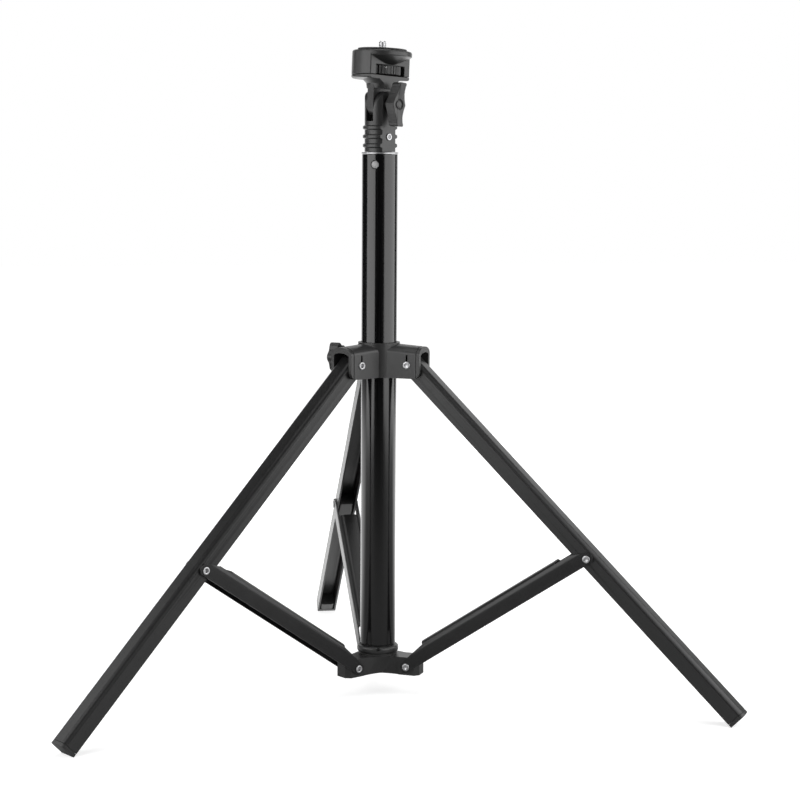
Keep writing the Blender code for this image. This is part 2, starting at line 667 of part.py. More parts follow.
def neck():
    low = RING_TOP + GAP - HINGE_HEIGHT
    shoulder = -7.0 * MM
    profile = [(0, low), (NECK_RADIUS, low)]
    for i in range(3):
        rib = FIRST_RIB - HINGE_HEIGHT + i * RIB_PITCH
        edge = 0.9 * MM
        profile += [(NECK_RADIUS, rib), (RIB_RADIUS, rib + edge), (RIB_RADIUS, rib + RIB_HEIGHT - edge),
                    (NECK_RADIUS, rib + RIB_HEIGHT)]
    profile += [(NECK_RADIUS, 14 * MM), (0, 14 * MM)]
    side = [(-20 * MM, low - 1 * MM), (20 * MM, low - 1 * MM), (20 * MM, shoulder),
            (NECK_RADIUS, shoulder)]
    side += arc((0, 0), PRONG_RADIUS, 10, 170, 16)
    side += [(-NECK_RADIUS, shoulder), (-20 * MM, shoulder)]
    slot = box((-SLOT_HALF_WIDTH, -20 * MM, SLOT_FLOOR), (SLOT_HALF_WIDTH, 20 * MM, 20 * MM))
    flat = box((FLAT_OFFSET, -20 * MM, low - 1 * MM), (20 * MM, 20 * MM, 20 * MM))
    socket = rod(TOP_RADIUS + GAP, low - 1 * MM, TOP_TOP - HINGE_HEIGHT + GAP, HIDDEN_STEPS)
    screw = moved(rod(1.9 * MM, 8 * MM, 20 * MM, PIN_STEPS), ALONG_X, shift(z=NECK_SCREW_HEIGHT - HINGE_HEIGHT))
    recess = moved(rod(3.2 * MM, 10.0 * MM, 20 * MM, 24), ALONG_X,
                   shift(z=NECK_SCREW_HEIGHT - HINGE_HEIGHT))
    bolt = moved(rod(BOLT_RADIUS + GAP, -20 * MM, 20 * MM, HOLE_STEPS), ALONG_X)
    pocket = moved(extruded(hexagon(NUT_RADIUS + GAP), -20 * MM, NUT_SEAT), ALONG_X)
    return carved(turned(profile), keep=[side_prism(side, 20 * MM)],
                  cut=[slot, flat, socket, screw, recess, bolt, pocket])


def neck_screw():
    """Set screw that bears on the top tube."""
    height = NECK_SCREW_HEIGHT - HINGE_HEIGHT
    tip = TOP_RADIUS + GAP
    profile = [(0, tip), (1.6 * MM, tip), (1.6 * MM, tip + 0.2 * MM), (2.8 * MM, tip + 0.2 * MM),
               (2.8 * MM, FLAT_OFFSET + 0.9 * MM), (0, FLAT_OFFSET + 0.9 * MM)]
    return plain(moved(turned(profile, 24), ALONG_X, shift(z=height)))


def knob_outline():
    """Wing knob outline in (y, z): wide in the middle, with hollow flanks and blunt ends."""
    half, end, length = KNOB_WIDTH / 2, KNOB_END_WIDTH / 2, KNOB_LENGTH / 2
    steps = 6
    corner = 1.6 * MM
    flank = []
    for i in range(steps + 1):
        along = i / steps
        width = half + (end - half) * along - 0.9 * MM * math.sin(math.pi * along)
        flank.append((width, (length - corner) * along))
    tip = [(end - 0.5 * corner, length - 0.3 * corner), (end - corner, length)]
    quarter = flank + tip
    upper = quarter + [(-y, z) for y, z in reversed(quarter)]
    return upper + [(-y, -z) for y, z in upper[1:-1]]


def tilt_knob():
    body = moved(extruded(knob_outline(), KNOB_INNER, KNOB_OUTER), ALONG_X)
    neck_boss = moved(rod(5.2 * MM, FLAT_OFFSET + GAP, KNOB_INNER + 1 * MM), ALONG_X)
    hole = moved(rod(BOLT_RADIUS + GAP, 0, KNOB_OUTER - 3 * MM, HOLE_STEPS), ALONG_X)
    dish = moved(rod(4.4 * MM, KNOB_OUTER - 1.2 * MM, KNOB_OUTER + 5 * MM), ALONG_X)
    return carved(body, fuse=[neck_boss], cut=[hole, dish])


def tilt_bolt():
    low = NUT_SEAT - NUT_HEIGHT - 0.4 * MM
    return plain(moved(rod(BOLT_RADIUS, low, KNOB_OUTER - 3.4 * MM, HOLE_STEPS), ALONG_X))


def hexagon(radius):
    return arc((0, 0), radius, 0, 300, 5)


def tilt_nut():
    hole = moved(rod(BOLT_RADIUS + GAP, -30 * MM, 30 * MM, HOLE_STEPS), ALONG_X)
    high = NUT_SEAT - GAP
    return carved(moved(extruded(hexagon(NUT_RADIUS), high - NUT_HEIGHT, high), ALONG_X), cut=[hole])


# --- Head --------------------------------------------------------------------------------------

def tongue_side():
    corner = TONGUE_CORNER
    half, low = TONGUE_HALF_WIDTH, TONGUE_TIP
    outline = arc((-half + corner, low + corner), corner, 180, 270, 6)
    outline += arc((half - corner, low + corner), corner, 270, 360, 6)
    return outline + [(half, STEM_LOW + 3 * MM), (-half, STEM_LOW + 3 * MM)]


def head_flat(low, high):
    return box((FLAT_OFFSET, -40 * MM, low), (40 * MM, 40 * MM, high))


def head_base():
    """Tongue, stem and the floor of the head, in one moulding."""
    edge = 1.0 * MM
    stem = turned([(0, STEM_LOW), (STEM_RADIUS, STEM_LOW), (STEM_RADIUS + 0.6 * MM, STEM_LOW + 4 * MM),
                   (STEM_TOP_RADIUS, HEAD_LOW - 0.4 * MM), (HEAD_RADIUS - edge, HEAD_LOW),
                   (HEAD_RADIUS, HEAD_LOW + edge), (HEAD_RADIUS, HEAD_SPLIT - GAP),
                   (0, HEAD_SPLIT - GAP)])
    bolt = moved(rod(BOLT_RADIUS + GAP, -20 * MM, 20 * MM, HOLE_STEPS), ALONG_X)
    return carved(stem, fuse=[side_prism(tongue_side(), TONGUE_HALF)],
                  cut=[head_flat(STEM_LOW - 10 * MM, HEAD_SPLIT + 5 * MM), bolt])


def head_housing():
    """Round housing with a flat side, a canopy over the flat and a window for the wheel."""
    edge = 1.0 * MM
    body = turned([(0, HEAD_SPLIT), (HEAD_RADIUS, HEAD_SPLIT), (HEAD_RADIUS, HEAD_TOP - edge),
                   (HEAD_RADIUS - edge, HEAD_TOP), (0, HEAD_TOP)])
    # The flat is cut away outside this cone, so that the round rim is left over it.
    canopy = turned([(0, 0), (FLAT_OFFSET, 0), (FLAT_OFFSET, CANOPY_LOW),
                     (HEAD_RADIUS + 1 * MM, CANOPY_HIGH), (HEAD_RADIUS + 1 * MM, HEAD_TOP + 5 * MM),
                     (0, HEAD_TOP + 5 * MM)])
    rest = box((-40 * MM, -40 * MM, 0), (FLAT_OFFSET, 40 * MM, HEAD_TOP + 5 * MM))
    allowed = carved(canopy, fuse=[rest])
    keep = bmesh.new()
    keep.from_mesh(allowed)
    wheel_room = rod(WHEEL_RADIUS + 0.9 * MM, HEAD_SPLIT - 5 * MM, WINDOW_TOP, ROUND_STEPS)
    window = box((0, -WINDOW_HALF, HEAD_SPLIT - 5 * MM), (40 * MM, WINDOW_HALF, WINDOW_TOP))
    bore = rod(SCREW_RADIUS + 0.5 * MM, 0, HEAD_TOP + 5 * MM, HOLE_STEPS)
    return carved(body, keep=[keep], cut=[wheel_room, window, bore])


def head_pad():
    edge = 0.5 * MM
    low = HEAD_TOP + GAP
    bore = SCREW_RADIUS + 1.0 * MM
    return plain(turned([(bore, low), (PAD_RADIUS, low), (PAD_RADIUS, PAD_TOP - edge),
                         (PAD_RADIUS - edge, PAD_TOP), (bore, PAD_TOP)]))


def thumb_wheel():
    teeth = 36
    outline = []
    for i in range(teeth):
        for offset, radius in ((-0.3, WHEEL_RADIUS), (-0.05, WHEEL_RADIUS), (0.2, WHEEL_RADIUS - 0.7 * MM),
                               (0.45, WHEEL_RADIUS - 0.7 * MM)):
            angle = math.tau * (i + offset) / teeth
            outline.append((radius * math.cos(angle), radius * math.sin(angle)))
    bore = rod(SCREW_RADIUS + GAP, 0, 60 * MM, HOLE_STEPS)
    return carved(extruded(outline, WHEEL_LOW, WHEEL_TOP), cut=[bore])


def camera_screw():
    edge = 0.5 * MM
    return plain(turned([(0, WHEEL_LOW + 0.3 * MM), (SCREW_RADIUS, WHEEL_LOW + 0.3 * MM),
                         (SCREW_RADIUS, SCREW_TOP - edge), (SCREW_RADIUS - edge, SCREW_TOP),
                         (0, SCREW_TOP)], 24))


# --- Assembly ----------------------------------------------------------------------------------

def build_column(root, looks):
    parts = (("outer_tube", outer_tube(), "anodised"), ("tube_ring", tube_ring(), "aluminium"),
             ("hub", hub(), "plastic"), ("hub_screw", hub_screw(), "steel"),
             ("release_button", release_button(), "grey"), ("mid_tube", mid_tube(), "anodised"),
             ("mid_guide", mid_guide(), "plastic"),
             ("top_tube", plain(tube_mesh(TOP_RADIUS, TOP_BORE, TOP_BOTTOM, TOP_TOP)), "anodised"),
             ("top_guide", top_guide(), "plastic"))
    for name, mesh, look in parts:
        place(name, finish_mesh(mesh, name, looks[look]), root)


def build_collar(root, looks):
    frame = empty("collar_frame", root, (0, 0, COLLAR_HEIGHT))
    place("collar", finish_mesh(collar(), "collar", looks["plastic"]), frame)
    side = empty("clamp_frame", frame, (0, 0, CLAMP_HEIGHT))
    side.matrix_local = shift(z=CLAMP_HEIGHT) @ toward(CLAMP_AZIMUTH) @ turn(-90, "X")
    for name, mesh, look in (("clamp_knob", clamp_knob(), "plastic"), ("clamp_screw", clamp_screw(), "steel"),
                             ("clamp_pad", clamp_pad(), "brass")):
        place(name, finish_mesh(mesh, name, looks[look]), side)
    return frame


def build_legs(root, collar_frame, looks):
    leg_parts = (("leg", leg(), "paint"), ("foot_cap", foot_cap(), "plastic"),
                 ("leg_spacer", leg_spacer(), "plastic"), ("brace_pin", brace_pin(), "steel"))
    strut_parts = (("strut", strut(), "paint"), ("stud_domed", None, "steel"), ("stud_hollow", None, "steel"))
    studs = {"stud_domed": plain(moved(stud(1), shift(z=STRUT_LENGTH))),
             "stud_hollow": plain(moved(stud(-1), shift(z=STRUT_LENGTH)))}
    leg_meshes = [(kind, finish_mesh(mesh, kind, looks[look])) for kind, mesh, look in leg_parts]
    strut_meshes = [(kind, finish_mesh(mesh or studs[kind], kind, looks[look]))
                    for kind, mesh, look in strut_parts]
    collar_rivet = finish_mesh(plain(rivet(ARM_HALF_WIDTH)), "collar_rivet", looks["steel"])
    hub_rivet = finish_mesh(plain(rivet(STRUT_HALF_WIDTH)), "hub_rivet", looks["steel"])
    for side, azimuth in LEG_AZIMUTHS.items():
        out = toward(azimuth)
        upper = empty("leg_pivot_" + side, collar_frame)
        upper.matrix_local = out @ shift(y=PIVOT_RADIUS)
        lower = empty("strut_pivot_" + side, root)
        lower.matrix_local = out @ shift(y=PIVOT_RADIUS, z=HUB_PIVOT_HEIGHT)
        place("collar_rivet_" + side, collar_rivet, upper)
        place("hub_rivet_" + side, hub_rivet, lower)
        for kind, mesh in leg_meshes:
            place(kind + "_" + side, mesh, upper).rotation_euler.x = LEG_ANGLE
        for kind, mesh in strut_meshes:
            place(kind + "_" + side, mesh, lower).rotation_euler.x = -STRUT_ANGLE


def build_head(root, looks):
    hinge = empty("tilt_hinge", root, (0, 0, HINGE_HEIGHT), (0, 0, math.radians(HEAD_AZIMUTH - 90.0)))
    for name, mesh, look in (("neck", neck(), "plastic"), ("neck_screw", neck_screw(), "steel"),
                             ("tilt_bolt", tilt_bolt(), "steel"), ("tilt_nut", tilt_nut(), "steel")):
        place(name, finish_mesh(mesh, name, looks[look]), hinge)
    knob = place("tilt_knob", finish_mesh(tilt_knob(), "tilt_knob", looks["plastic"]), hinge)
    knob.rotation_euler.x = -KNOB_TILT
    for name, mesh, look in (("head_base", head_base(), "plastic"), ("head_housing", head_housing(), "plastic"),
                             ("head_pad", head_pad(), "rubber"), ("thumb_wheel", thumb_wheel(), "plastic"),
                             ("camera_screw", camera_screw(), "steel")):
        place(name, finish_mesh(mesh, name, looks[look]), hinge).rotation_euler.x = -HEAD_LEAN


def centre_on_footprint(root):
    """Moves the stand so that the centre of its box on the floor is the origin."""
    bpy.context.view_layer.update()
    corners = [item.matrix_world @ vertex.co for item in bpy.data.objects if item.type == "MESH"
               for vertex in item.data.vertices]
    low = [min(point[axis] for point in corners) for axis in range(3)]
    high = [max(point[axis] for point in corners) for axis in range(3)]
    root.location = (-(low[0] + high[0]) / 2, -(low[1] + high[1]) / 2, -low[2])
    bpy.context.view_layer.update()


def main():
    clear_scene()
    looks = make_materials()
    root = empty("column_axis", None)
    build_column(root, looks)
    collar_frame = build_collar(root, looks)
    build_legs(root, collar_frame, looks)
    build_head(root, looks)
    centre_on_footprint(root)


main()
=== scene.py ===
"""Looks for the folding light stand: materials, fine trim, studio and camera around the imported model."""
import json
import math

import bmesh
import bpy
from mathutils import Matrix, Vector


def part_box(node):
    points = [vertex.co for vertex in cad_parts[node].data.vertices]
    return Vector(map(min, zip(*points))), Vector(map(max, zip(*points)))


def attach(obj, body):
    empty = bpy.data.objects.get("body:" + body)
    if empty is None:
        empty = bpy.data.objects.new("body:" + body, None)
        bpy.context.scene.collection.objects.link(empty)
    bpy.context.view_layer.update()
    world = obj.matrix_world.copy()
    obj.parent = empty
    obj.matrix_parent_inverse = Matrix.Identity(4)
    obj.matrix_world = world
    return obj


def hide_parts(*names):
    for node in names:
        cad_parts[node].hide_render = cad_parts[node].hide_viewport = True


MM = 0.001
NEAR_AXIS = 0.05 * MM  # radius at which a turned profile ends
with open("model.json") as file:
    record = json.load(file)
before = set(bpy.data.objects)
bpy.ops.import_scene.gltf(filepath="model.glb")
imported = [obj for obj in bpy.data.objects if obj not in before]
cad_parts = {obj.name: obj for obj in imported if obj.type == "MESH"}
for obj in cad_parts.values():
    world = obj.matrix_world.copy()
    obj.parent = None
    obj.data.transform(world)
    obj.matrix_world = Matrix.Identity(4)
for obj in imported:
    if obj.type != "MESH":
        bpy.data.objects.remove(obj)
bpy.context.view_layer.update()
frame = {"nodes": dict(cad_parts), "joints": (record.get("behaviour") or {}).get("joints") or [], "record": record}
NODES = frame["nodes"]
JOINTS = {joint["name"]: joint for joint in frame["joints"]}
SIDES = ("front_left", "front_right", "rear")


# --- Frames taken from the model -----------------------------------------------------------------

def frame_at(origin, x_axis, up):
    """Frame at origin with the given X axis, and Z as close to up as it can be."""
    x = Vector(x_axis).normalized()
    z = (Vector(up) - x * x.dot(Vector(up))).normalized()
    y = z.cross(x)
    return Matrix.Translation(origin) @ Matrix((x, y, z)).transposed().to_4x4()


def turned_up(origin, z_axis):
    """Frame at origin with the given Z axis."""
    z = Vector(z_axis).normalized()
    side = Vector((0, 0, 1)) if abs(z.z) < 0.9 else Vector((0, 1, 0))
    x = side.cross(z).normalized()
    return Matrix.Translation(origin) @ Matrix((x, z.cross(x), z)).transposed().to_4x4()


def span(node_name, place, axis):
    """Lowest and highest coordinate of a CAD node along one axis of a frame."""
    inverse = place.inverted()
    values = [(inverse @ vertex.co)[axis] for vertex in NODES[node_name].data.vertices]
    return min(values), max(values)


def middle(node_name):
    """Centre of a CAD node's box."""
    low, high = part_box(node_name)
    return (low + high) / 2


UP = Vector((0, 0, 1))
HINGE = Vector(JOINTS["head_tilt"]["pos_m"])
TILT_AXIS = Vector(JOINTS["head_tilt"]["axis"])
HEAD_UP = Vector(JOINTS["thumb_wheel_turn"]["axis"])
NECK = frame_at(HINGE, TILT_AXIS, UP)
HEAD = frame_at(HINGE, TILT_AXIS, HEAD_UP)
KNOB = NECK @ Matrix.Rotation(math.radians(-10.0), 4, "X")
LIE_ALONG_X = Matrix.Rotation(math.radians(90.0), 4, "Y")


def on_column(height):
    """Point on the column's axis."""
    return Vector((HINGE.x, HINGE.y, height))


# --- Materials -----------------------------------------------------------------------------------
# In the helpers below, made is a material or the world: anything with a node tree.

def look(name, color, roughness, metallic=0.0, specular=0.5):
    made = bpy.data.materials.new(name)
    made.use_nodes = True
    shader = shader_of(made)
    shader.inputs["Base Color"].default_value = (*color, 1.0)
    shader.inputs["Roughness"].default_value = roughness
    shader.inputs["Metallic"].default_value = metallic
    shader.inputs["Specular IOR Level"].default_value = specular
    return made


def shader_of(made):
    return made.node_tree.nodes["Principled BSDF"]


def node(made, kind, **values):
    """A shader node whose sockets and settings are given by name."""
    new = made.node_tree.nodes.new(kind)
    for key, value in values.items():
        if key in new.inputs:
            new.inputs[key].default_value = value
        else:
            setattr(new, key, value)
    return new


def link(made, source, output, target, socket):
    made.node_tree.links.new(source.outputs[output], target.inputs[socket])


def remap(made, start, end, low, high):
    """Maps start to low and end to high, and clamps beyond them."""
    return node(made, "ShaderNodeMapRange",
                **{"From Min": start, "From Max": end, "To Min": low, "To Max": high})


def noise(made, scale, detail, stretch=(1.0, 1.0, 1.0)):
    """Noise over the object's own coordinates, so that it moves with its body. Scale is per metre."""
    place = node(made, "ShaderNodeTexCoord")
    size = node(made, "ShaderNodeMapping")
    size.inputs["Scale"].default_value = stretch
    grain = node(made, "ShaderNodeTexNoise", Scale=scale, Detail=detail)
    link(made, place, "Object", size, "Vector")
    link(made, size, "Vector", grain, "Vector")
    return grain


def ramp(made, source, output, low, high, color_low, color_high):
    """Colour ramp between two stops."""
    tint = node(made, "ShaderNodeValToRGB")
    stops = tint.color_ramp.elements
    stops[0].position = low
    stops[0].color = (*color_low, 1.0)
    stops[1].position = high
    stops[1].color = (*color_high, 1.0)
    link(made, source, output, tint, "Fac")
    return tint


def grey(value):
    return (value, value, value)


def vary_roughness(made, grain, low, high):
    spread = remap(made, 0.3, 0.7, low, high)
    link(made, grain, "Fac", spread, "Value")
    link(made, spread, "Result", shader_of(made), "Roughness")


def bump(made, grain, strength, depth):
    """Bump from a noise; strength is a share and depth is in metres."""
    skin = node(made, "ShaderNodeBump", Strength=strength, Distance=depth)
    link(made, grain, "Fac", skin, "Height")
    link(made, skin, "Normal", shader_of(made), "Normal")


def worn_edges(made, tint, edge, amount):
    """Base colour from a ramp that turns to the edge colour on sharp outer corners."""
    geometry = node(made, "ShaderNodeNewGeometry")
    corners = ramp(made, geometry, "Pointiness", 0.52, 0.62, grey(0.0), grey(amount))
    blend = node(made, "ShaderNodeMix", data_type="RGBA")
    color_a, color_b, color_out = 6, 7, 2
    link(made, corners, "Color", blend, "Factor")
    link(made, tint, "Color", blend, color_a)
    blend.inputs[color_b].default_value = (*edge, 1.0)
    link(made, blend, color_out, shader_of(made), "Base Color")


def anodised():
    """Black anodised tube with fine lines drawn along it."""
    made = look("anodised_black_aluminium", grey(0.003), 0.2, specular=0.6)
    drawn = noise(made, scale=900.0, detail=4.0, stretch=(1.0, 1.0, 0.012))
    vary_roughness(made, drawn, 0.12, 0.2)
    tint = ramp(made, drawn, "Fac", 0.35, 0.7, (0.0018, 0.0018, 0.002), (0.0042, 0.0042, 0.0045))
    link(made, tint, "Color", shader_of(made), "Base Color")
    bump(made, drawn, strength=0.12, depth=0.00002)
    return made


def powder_coat():
    """Satin black coat with a fine orange peel, worn to grey on its corners."""
    made = look("satin_black_powder_coat", grey(0.005), 0.34, specular=0.45)
    cloud = noise(made, scale=60.0, detail=2.0)
    tint = ramp(made, cloud, "Fac", 0.3, 0.7, (0.0035, 0.0035, 0.0037), (0.0065, 0.0065, 0.0068))
    worn_edges(made, tint, grey(0.04), 0.5)
    peel = noise(made, scale=1500.0, detail=2.0)
    vary_roughness(made, peel, 0.27, 0.38)
    bump(made, peel, strength=0.2, depth=0.00005)
    return made


def moulded_plastic(name, shade, roughness, texture):
    """Etched moulded plastic with paler corners; texture is the strength of its grain."""
    made = look(name, grey(shade), roughness)
    cloud = noise(made, scale=90.0, detail=3.0)
    tint = ramp(made, cloud, "Fac", 0.3, 0.7, grey(shade * 0.86), grey(shade * 1.14))
    worn_edges(made, tint, grey(shade * 2.2), 0.6)
    etched = noise(made, scale=3600.0, detail=4.0)
    vary_roughness(made, etched, roughness - 0.06, roughness + 0.08)
    bump(made, etched, strength=texture, depth=0.00008)
    return made


def rubber():
    """Matte rubber with a little dust on it."""
    made = look("matte_black_rubber", grey(0.056), 0.6, specular=0.45)
    dust = noise(made, scale=450.0, detail=5.0)
    tint = ramp(made, dust, "Fac", 0.35, 0.75, grey(0.046), grey(0.066))
    link(made, tint, "Color", shader_of(made), "Base Color")
    fine = noise(made, scale=5200.0, detail=3.0)
    vary_roughness(made, fine, 0.52, 0.68)
    bump(made, fine, strength=0.3, depth=0.00006)
    return made


def metal(name, color, roughness, scratch=0.15, stretch=(1.0, 1.0, 1.0)):
    """Bare or plated metal with fine marks; scratch is the strength of their bump."""
    made = look(name, color, roughness, metallic=1.0)
    marks = noise(made, scale=1400.0, detail=5.0, stretch=stretch)
    vary_roughness(made, marks, roughness * 0.7, roughness * 1.4)
    dark = tuple(0.8 * channel for channel in color)
    tint = ramp(made, marks, "Fac", 0.3, 0.6, dark, color)
    link(made, tint, "Color", shader_of(made), "Base Color")
    bump(made, marks, strength=scratch, depth=0.00002)
    return made


LOOKS = {
    "anodised_black": anodised(),
    "satin_black_paint": powder_coat(),
    "black_plastic": moulded_plastic("moulded_black_plastic", 0.02, 0.35, 0.25),
    "black_rubber": rubber(),
    "bright_steel": metal("bright_plated_steel", (0.55, 0.55, 0.56), 0.42),
    "bare_aluminium": metal("turned_aluminium", (0.42, 0.42, 0.43), 0.36, 0.3, (0.2, 0.2, 6.0)),
    "grey_button": moulded_plastic("grey_button_plastic", 0.36, 0.42, 0.2),
    "brass": metal("plain_brass", (0.6, 0.42, 0.16), 0.35),
}
SCREW_STEEL = metal("polished_screw_steel", (0.74, 0.74, 0.75), 0.3)
# White plastic for the small raised dot on the thumb wheel.
WHITE_DOT = moulded_plastic("white_dot_plastic", 0.8, 0.5, 0.1)

SLOT_OF = {row["node"]: row["material_slot"] for row in frame["record"]["subparts"]}
for name, item in NODES.items():
    item.data.materials.clear()
    item.data.materials.append(LOOKS[SLOT_OF[name]])


# --- Rounded edges on the CAD nodes --------------------------------------------------------------

WELD_DISTANCE = 0.00001
FLAT_ANGLE = math.radians(0.6)
EDGE_ANGLE = math.radians(31.0)
PLAIN_EDGE = 0.25
# Width of the rounded edges in millimetres, where it isn't the plain one.
EDGE_WIDTH = {"collar": 0.9, "hub": 0.8, "head_housing": 0.9, "head_base": 0.8, "neck": 0.35,
              "clamp_knob": 0.8, "thumb_wheel": 0.16, "outer_tube": 0.2, "tube_ring": 0.3,
              "foot_cap": 0.6, "leg_spacer": 0.5, "leg": 0.45, "strut": 0.4, "hub_screw": 0.25}


def smooth_faces(item):
    """Shades by face size, so that wide faces look flat beside narrow rounded edges."""
    shade = item.modifiers.new("shade", "WEIGHTED_NORMAL")
    shade.keep_sharp = False
    shade.weight = 80


def round_edges(item, width):
    """Joins the mesh into large flat faces and rounds its edges; width is in millimetres."""
    weld = item.modifiers.new("weld", "WELD")
    weld.merge_threshold = WELD_DISTANCE
    flat = item.modifiers.new("flat", "DECIMATE")
    flat.decimate_type = "DISSOLVE"
    flat.angle_limit = FLAT_ANGLE
    bevel = item.modifiers.new("bevel", "BEVEL")
    bevel.width = width * MM
    bevel.segments = 3
    bevel.limit_method = "ANGLE"
    bevel.angle_limit = EDGE_ANGLE
    bevel.use_clamp_overlap = True
    smooth_faces(item)


for name, item in NODES.items():
    kind = name
    for side in SIDES:
        kind = kind.removesuffix("_" + side)
    round_edges(item, EDGE_WIDTH.get(kind, PLAIN_EDGE))


# --- Shape helpers -------------------------------------------------------------------------------

def add_piece(name, shape, place, body, slot_name, stands_for=(), material=None):
    """Makes a shown piece from a bmesh drawn in the frame given by place; slot_name may be None."""
    bmesh.ops.recalc_face_normals(shape, faces=shape.faces)
    mesh = bpy.data.meshes.new(name)
    shape.to_mesh(mesh)
    shape.free()
    mesh.transform(place)
    mesh.shade_smooth()
    item = bpy.data.objects.new(name, mesh)
    bpy.context.scene.collection.objects.link(item)
    mesh.materials.append(material or LOOKS[slot_name])
    smooth_faces(item)
    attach(item, body)
    if stands_for:
        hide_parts(*stands_for)


def skinned(rings, looped=False):
    """Closed solid over rings of points. Fans close its ends, or a looped one joins last to first."""
    shape = bmesh.new()
    rows = [[shape.verts.new(point) for point in points] for points in rings]
    count = len(rows[0])
    for lower, upper in zip(rows, rows[1:] + (rows[:1] if looped else [])):
        for i in range(count):
            j = (i + 1) % count
            shape.faces.new((lower[i], lower[j], upper[j], upper[i]))
    if looped:
        return shape
    for row, flip in ((rows[0], True), (rows[-1], False)):
        centre = shape.verts.new(sum((vertex.co for vertex in row), Vector()) / count)
        for i in range(count):
            j = (i + 1) % count
            shape.faces.new((centre, row[j], row[i]) if flip else (centre, row[i], row[j]))
    return shape


def ring(radius, height, steps=48):
    """Points round Z; radius is a number or a function of the angle."""
    points = []
    for i in range(steps):
        angle = math.tau * i / steps
        reach = radius(angle) if callable(radius) else radius
        points.append((reach * math.cos(angle), reach * math.sin(angle), height))
    return points


def turned(profile, steps=48):
    """Solid turned round Z from (radius, height) points, whose ends lie near the axis."""
    return skinned([ring(radius, height, steps) for radius, height in profile])


def flipped(profile):
    """The same profile upside down, from its last point to its first."""
    return [(radius, -height) for radius, height in reversed(profile)]


def quarter(radius, height, size, start, end):
    """Profile points of a rounded corner centred at (radius, height), between two angles."""
    steps = 4
    points = []
    for i in range(steps + 1):
        angle = math.radians(start + (end - start) * i / steps)
        points.append((radius + size * math.cos(angle), height + size * math.sin(angle)))
    return points


# --- Rivets --------------------------------------------------------------------------------------

HEAD_RADIUS = 3.2 * MM
SHANK_RADIUS = 2.0 * MM
BORE_RADIUS = 1.55 * MM
RIVET_DOME, RIVET_ROLL = 1.0 * MM, 0.8 * MM
STUD_DOME, STUD_ROLL = 0.85 * MM, 0.5 * MM


def domed_head(seat, top):
    """Profile of a low round rivet head with a dimple, from its seat to its centre."""
    rise = top - seat
    crown = 0.62 * HEAD_RADIUS
    points = [(HEAD_RADIUS, seat), (HEAD_RADIUS, seat + 0.25 * rise)]
    for i in range(1, 7):
        angle = math.radians(90.0 * i / 6)
        points.append((crown + (HEAD_RADIUS - crown) * math.cos(angle),
                       seat + rise * (0.25 + 0.75 * math.sin(angle))))
    return points + [(0.85 * crown, top - 0.08 * rise), (0.6 * crown, top - 0.38 * rise),
                     (NEAR_AXIS, top - 0.42 * rise)]


def rolled_end(seat, top):
    """Profile of the hollow end of a rivet, rolled over its washer face."""
    centre = (HEAD_RADIUS + BORE_RADIUS) / 2
    points = [(HEAD_RADIUS, seat)]
    for i in range(9):
        angle = math.radians(180.0 * i / 8)
        reach = centre + (HEAD_RADIUS - BORE_RADIUS) / 2 * math.cos(angle)
        points.append((reach, seat + (top - seat) * (0.3 + 0.7 * math.sin(angle))))
    return points + [(BORE_RADIUS, seat - 1.0 * MM), (BORE_RADIUS * 0.9, seat - 1.8 * MM),
                     (NEAR_AXIS, seat - 1.9 * MM)]


def add_rivet(name, profile, place, body):
    """Shown piece for a rivet or stud whose profile runs along the frame's X axis."""
    add_piece(name + "_fine", turned(profile), place @ LIE_ALONG_X, body, "bright_steel", [name])


def rivet(name, place, body):
    """Whole rivet along X: domed at the high end and rolled at the low end."""
    low, high = span(name, place, 0)
    profile = flipped(rolled_end(-low - RIVET_ROLL, -low))
    profile += [(SHANK_RADIUS, low + RIVET_ROLL), (SHANK_RADIUS, high - RIVET_DOME)]
    add_rivet(name, profile + domed_head(high - RIVET_DOME, high), place, body)


def domed_stud(name, place, body):
    """Domed end of a split rivet along X; on the leg's side it ends with a plain shank."""
    low, high = span(name, place, 0)
    profile = [(NEAR_AXIS, low), (SHANK_RADIUS, low), (SHANK_RADIUS, high - STUD_DOME)]
    add_rivet(name, profile + domed_head(high - STUD_DOME, high), place, body)


def hollow_stud(name, place, body):
    """Rolled end of a split rivet along X; on the leg's side it ends with a plain shank."""
    low, high = span(name, place, 0)
    profile = flipped(rolled_end(-low - STUD_ROLL, -low))
    profile += [(SHANK_RADIUS, low + STUD_ROLL), (SHANK_RADIUS, high), (NEAR_AXIS, high)]
    add_rivet(name, profile, place, body)


for side in SIDES:
    fold = JOINTS["leg_fold_" + side]
    rivet("collar_rivet_" + side, frame_at(Vector(fold["pos_m"]), -Vector(fold["axis"]), UP), "collar")
    fold = JOINTS["strut_fold_" + side]
    rivet("hub_rivet_" + side, frame_at(Vector(fold["pos_m"]), Vector(fold["axis"]), UP), "column")
    pin = frame_at(middle("brace_pin_" + side), Vector(fold["axis"]), UP)
    domed_stud("stud_domed_" + side, pin, "strut_" + side)
    hollow_stud("stud_hollow_" + side, pin, "strut_" + side)


# --- Camera screw, neck screw and button ---------------------------------------------------------

SCREW_RADIUS = 3.17 * MM
THREAD_DEPTH = 0.5 * MM
THREAD_PITCH = 1.27 * MM
SCREW_TIP = 1.1 * MM


